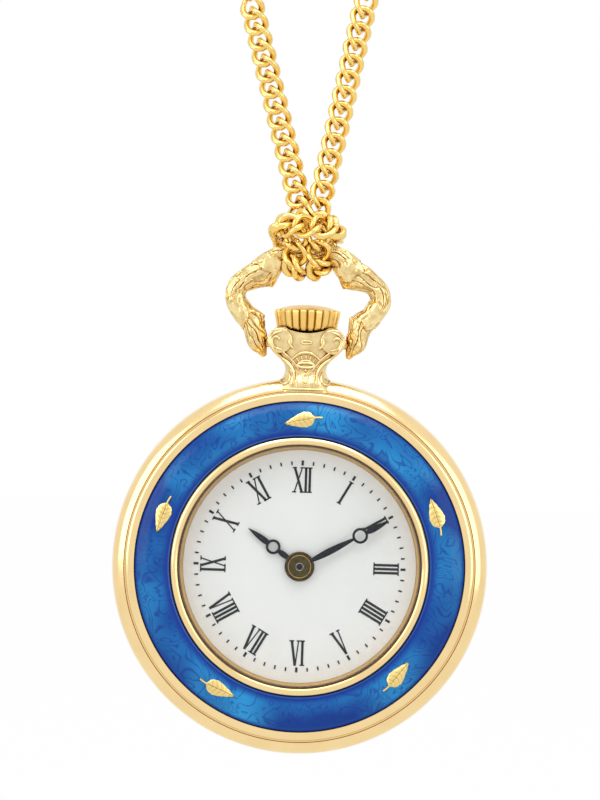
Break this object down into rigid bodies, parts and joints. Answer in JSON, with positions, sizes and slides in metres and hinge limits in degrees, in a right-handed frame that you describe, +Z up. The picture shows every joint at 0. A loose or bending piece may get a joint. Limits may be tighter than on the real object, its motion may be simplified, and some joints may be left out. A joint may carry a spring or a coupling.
{
  "type": "pendant watch",
  "caption": "Pendant watch with an enamelled bezel, white dial, fluted crown and swinging bow, hung from a gold curb chain hitched round the bow",
  "frame": {"origin": "the point that the chain is held from, above the middle of the watch", "axes": "+Z up along the hanging watch's middle line, dial facing -Y, +X to the right of the dial"},
  "size_m": [0.03, 0.0072, 0.0687],
  "materials": {
    "gold_plate": "bright gold plate",
    "chain_gold": "bright gold plate, deeper yellow",
    "crown_gold": "satin gold plate",
    "enamel_blue": "translucent blue enamel, marbled",
    "leaf_gold": "engraved gold",
    "crystal": "clear mineral glass",
    "gasket_rubber": "matt",
    "dial_ring_gold": "grained gold",
    "dial_white": "satin white",
    "hand_black": "black, slightly glossy",
    "hub_brass": "dark brass",
    "post_steel": "blued steel",
    "plate_brass": "brushed",
    "gear_brass": "polished",
    "steel": "brushed",
    "copper": "enamelled copper wire",
    "board_green": "circuit board",
    "spacer_white": "moulded",
    "magnet_dark": "sintered magnet"
  },
  "bodies": {
    "bow_and_chain": {"bow": "gold_plate", "chain_left_strand": "chain_gold", "chain_right_strand": "chain_gold", "chain_hitch": "chain_gold", "end_ring_left": "chain_gold", "end_ring_right": "chain_gold", "clasp_ring": "chain_gold"},
    "clasp_bolt": {"clasp_bolt": "chain_gold"},
    "case": {"case_band": "gold_plate", "bezel": "gold_plate", "enamel_ring": "enamel_blue", "gold_leaves": "leaf_gold", "crystal_gasket": "gasket_rubber", "crystal": "crystal", "dial_ring": "dial_ring_gold", "dial": "dial_white", "main_plate": "plate_brass", "stator": "steel", "coil_core": "steel", "coil": "copper", "battery_cell": "steel", "battery_strap": "steel", "circuit_board": "board_green", "quartz_can": "steel", "train_bridge": "plate_brass", "bridge_screws": "steel", "movement_ring": "spacer_white", "stem_tube": "gear_brass", "pendant": "gold_plate"},
    "minute_work": {"centre_wheel": "gear_brass", "cannon_pinion": "gear_brass", "minute_hand": "hand_black", "minute_hub": "hub_brass", "centre_post": "post_steel"},
    "hour_work": {"hour_wheel": "gear_brass", "hour_hand": "hand_black", "hour_hub": "hub_brass"},
    "minute_wheel": {"minute_wheel": "gear_brass"},
    "setting_wheel": {"setting_wheel": "steel"},
    "intermediate_wheel": {"intermediate_wheel": "gear_brass"},
    "rotor": {"rotor": "magnet_dark"},
    "clutch": {"clutch": "steel"},
    "crown": {"crown": "crown_gold", "stem": "steel", "crown_gasket": "gasket_rubber"},
    "setting_lever": {"setting_lever": "steel"},
    "back_cover": {"back_cover": "gold_plate", "back_gasket": "gasket_rubber"}
  },
  "joints": [
    {"name": "bow_pivot", "type": "hinge", "parent": "bow_and_chain", "child": "case", "pos_m": [0, 0, -0.0297], "axis": [1, 0, 0], "range_deg": [-100, 100]},
    {"name": "clasp_thumb", "type": "hinge", "parent": "bow_and_chain", "child": "clasp_bolt", "pos_m": [-0.00676, 0.0003, 0.00274], "axis": [0, -1, 0], "range_deg": [0, 40], "stiffness_Nm_per_rad": 0.0002, "springref_deg": -28.65},
    {"name": "minute_turn", "type": "hinge", "parent": "case", "child": "minute_work", "pos_m": [0, 0, -0.0475], "axis": [0, 1, 0], "continuous": true},
    {"name": "hour_turn", "type": "hinge", "parent": "case", "child": "hour_work", "pos_m": [0, 0, -0.0475], "axis": [0, 1, 0], "continuous": true},
    {"name": "minute_wheel_turn", "type": "hinge", "parent": "case", "child": "minute_wheel", "pos_m": [0, 0, -0.0455], "axis": [0, 1, 0], "continuous": true},
    {"name": "setting_wheel_turn", "type": "hinge", "parent": "case", "child": "setting_wheel", "pos_m": [0, 0, -0.0435], "axis": [0, 1, 0], "continuous": true},
    {"name": "intermediate_turn", "type": "hinge", "parent": "case", "child": "intermediate_wheel", "pos_m": [-0.00223, 0, -0.04906], "axis": [0, 1, 0], "continuous": true},
    {"name": "rotor_turn", "type": "hinge", "parent": "case", "child": "rotor", "pos_m": [-0.00401, 0, -0.0497], "axis": [0, 1, 0], "continuous": true},
    {"name": "crown_turn", "type": "hinge", "parent": "case", "child": "clutch", "pos_m": [0, 0, -0.04205], "axis": [0, 0, 1], "continuous": true},
    {"name": "crown_pull", "type": "slide", "parent": "clutch", "child": "crown", "axis": [0, 0, 1], "range_m": [0, 0.001]},
    {"name": "setting_lever_turn", "type": "hinge", "parent": "case", "child": "setting_lever", "pos_m": [0.00214, 0, -0.03955], "axis": [0, 1, 0], "range_deg": [0, 26.37]},
    {"name": "back_cover_pull", "type": "slide", "parent": "case", "child": "back_cover", "axis": [0, 1, 0], "range_m": [0, 0.008]}
  ],
  "couplings": [
    {"joint": "hour_turn", "follows": "minute_turn", "ratio": 0.083333},
    {"joint": "minute_wheel_turn", "follows": "minute_turn", "ratio": -0.33333},
    {"joint": "setting_wheel_turn", "follows": "minute_turn", "ratio": 1},
    {"joint": "intermediate_turn", "follows": "minute_turn", "ratio": -7.5},
    {"joint": "rotor_turn", "follows": "minute_turn", "ratio": 60},
    {"joint": "setting_lever_turn", "follows": "crown_pull", "rad_per_m": 458.55}
  ]
}
